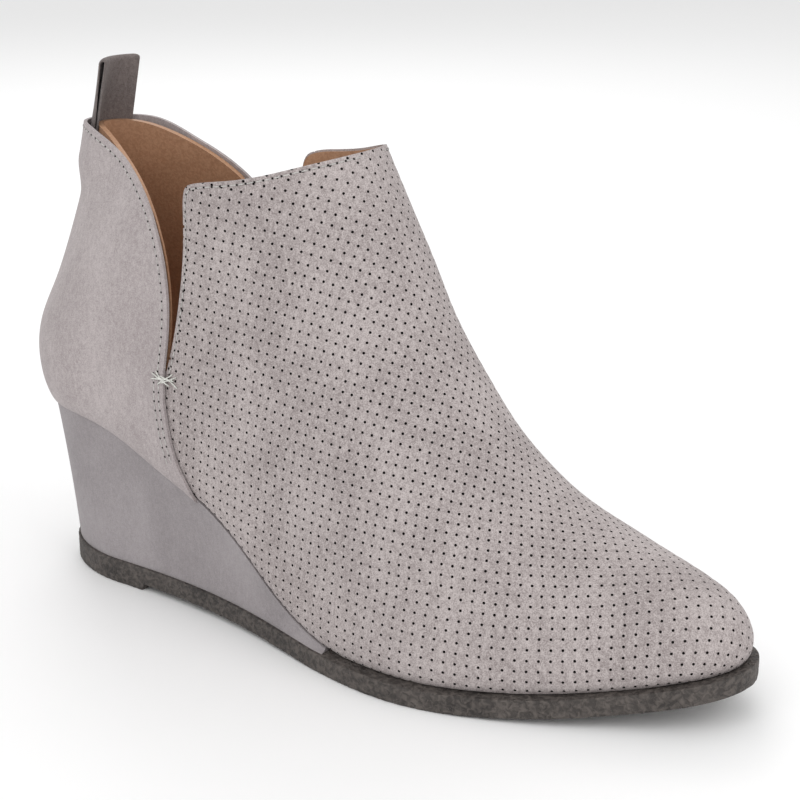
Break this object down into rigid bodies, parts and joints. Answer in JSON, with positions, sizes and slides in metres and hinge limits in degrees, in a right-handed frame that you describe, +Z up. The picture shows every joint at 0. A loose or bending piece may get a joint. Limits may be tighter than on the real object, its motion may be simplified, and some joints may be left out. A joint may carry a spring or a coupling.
{
  "type": "ankle boot",
  "caption": "Low wedge ankle boot for the right foot, with a perforated vamp, deep side notches, a plain quarter and a pull loop.",
  "frame": {"origin": "middle of the boot seen from above, on the floor under the sole", "axes": "+X to the toe, +Y to the inner side of the foot, +Z up"},
  "size_m": [0.254, 0.0868, 0.166],
  "materials": {
    "rubber": "pebbled matte",
    "wedge_suede": "matte nap",
    "vamp_suede": "matte nap, perforated",
    "quarter_suede": "matte nap",
    "loop_suede": "matte nap",
    "lining": "satin"
  },
  "bodies": {
    "root": {"outsole": "rubber", "wedge": "wedge_suede", "upper": "vamp_suede", "quarter": "quarter_suede", "pull_loop": "loop_suede", "insole": "lining"}
  },
  "joints": []
}
